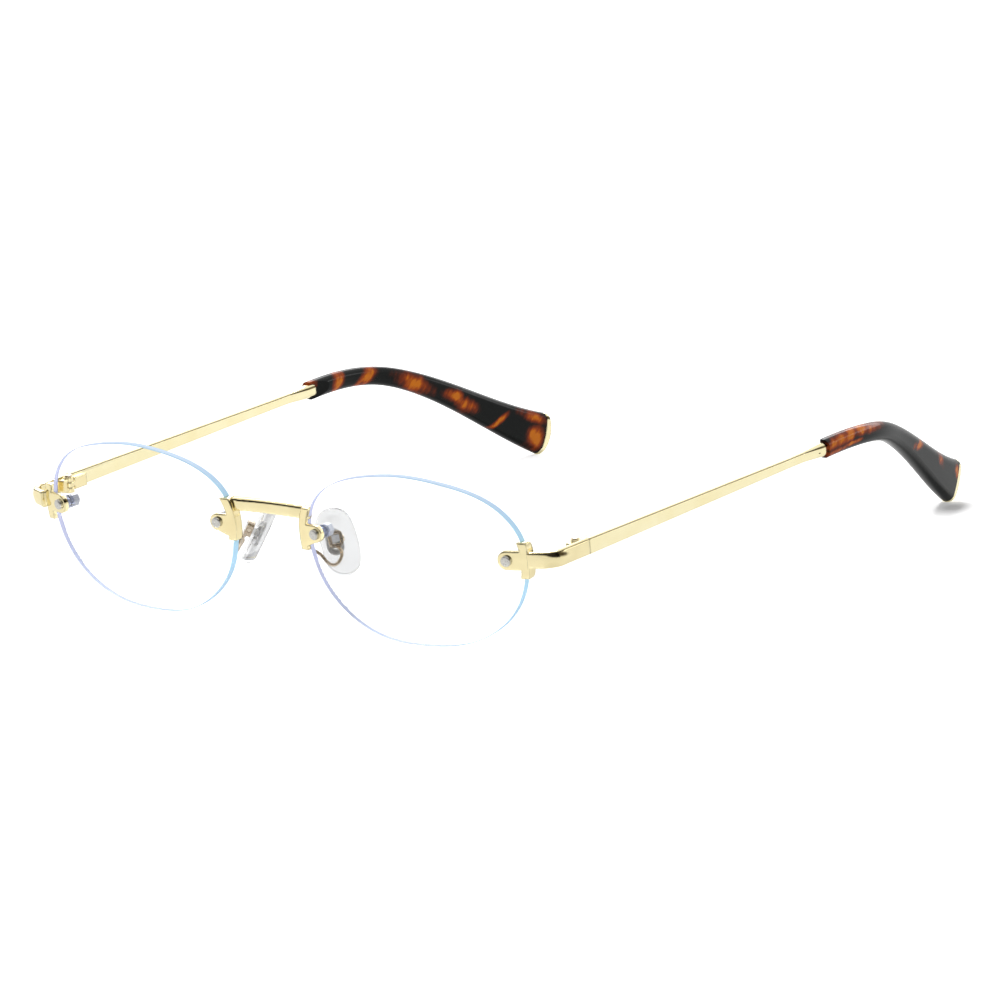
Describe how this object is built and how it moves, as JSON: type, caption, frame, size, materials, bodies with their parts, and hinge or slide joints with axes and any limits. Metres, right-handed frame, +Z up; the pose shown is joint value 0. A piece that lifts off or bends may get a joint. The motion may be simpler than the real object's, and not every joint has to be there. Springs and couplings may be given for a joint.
{
  "type": "rimless eyeglasses",
  "caption": "Rimless spectacles with oval lenses, screw-on bridge and end pieces, rocking nose pads, folding temples and ear tips with metal end caps.",
  "frame": {"origin": "centre of the bounding box in plan, on the table that the open glasses rest on by both lens bottoms and both tip ends", "axes": "+Z up from the table, +Y from the lenses back towards the tips, +X towards the wearer's left; mirror plane x = 0"},
  "size_m": [0.1386, 0.1528, 0.0343],
  "materials": {
    "lens": "clear, polished edge",
    "gold": "polished pale gold plate",
    "screw": "polished flat head",
    "bush": "clear nylon",
    "nut": "polished",
    "pad": "translucent silicone",
    "insert": "plain",
    "tip": "tortoiseshell acetate, soft gloss"
  },
  "bodies": {
    "front": {"left_lens": "lens", "right_lens": "lens", "left_nasal_screw": "screw", "right_nasal_screw": "screw", "left_nasal_bush": "bush", "right_nasal_bush": "bush", "left_nasal_nut": "nut", "right_nasal_nut": "nut", "left_temporal_screw": "screw", "right_temporal_screw": "screw", "left_temporal_bush": "bush", "right_temporal_bush": "bush", "left_temporal_nut": "nut", "right_temporal_nut": "nut", "left_nose_plate": "gold", "right_nose_plate": "gold", "left_end_piece": "gold", "right_end_piece": "gold", "bridge_bar": "gold", "left_pad_box": "gold", "right_pad_box": "gold", "left_pad_screw": "screw", "right_pad_screw": "screw", "left_pad_arm": "gold", "right_pad_arm": "gold", "left_hinge_front_leaf": "gold", "right_hinge_front_leaf": "gold", "left_hinge_screw": "screw", "right_hinge_screw": "screw"},
    "left_temple": {"left_hinge_temple_leaf": "gold", "left_temple_bar": "gold", "left_temple_tip": "tip", "left_tip_end_cap": "gold"},
    "left_pad": {"left_nose_pad": "pad", "left_pad_insert": "insert"},
    "right_temple": {"right_hinge_temple_leaf": "gold", "right_temple_bar": "gold", "right_temple_tip": "tip", "right_tip_end_cap": "gold"},
    "right_pad": {"right_nose_pad": "pad", "right_pad_insert": "insert"}
  },
  "joints": [
    {"name": "left_temple_fold", "type": "hinge", "parent": "front", "child": "left_temple", "pos_m": [0.06573, -0.06056, 0.02024], "axis": [0, -0.0504, 0.9987], "range_deg": [0, 89]},
    {"name": "left_pad_rock", "type": "hinge", "parent": "front", "child": "left_pad", "pos_m": [0.01126, -0.06796, 0.01803], "axis": [0.6453, 0.7589, 0.0881], "range_deg": [-8, 8]},
    {"name": "right_temple_fold", "type": "hinge", "parent": "front", "child": "right_temple", "pos_m": [-0.06573, -0.06056, 0.02024], "axis": [0, 0.0504, -0.9987], "range_deg": [0, 81]},
    {"name": "right_pad_rock", "type": "hinge", "parent": "front", "child": "right_pad", "pos_m": [-0.01126, -0.06796, 0.01803], "axis": [-0.6453, 0.7589, 0.0881], "range_deg": [-8, 8]}
  ]
}
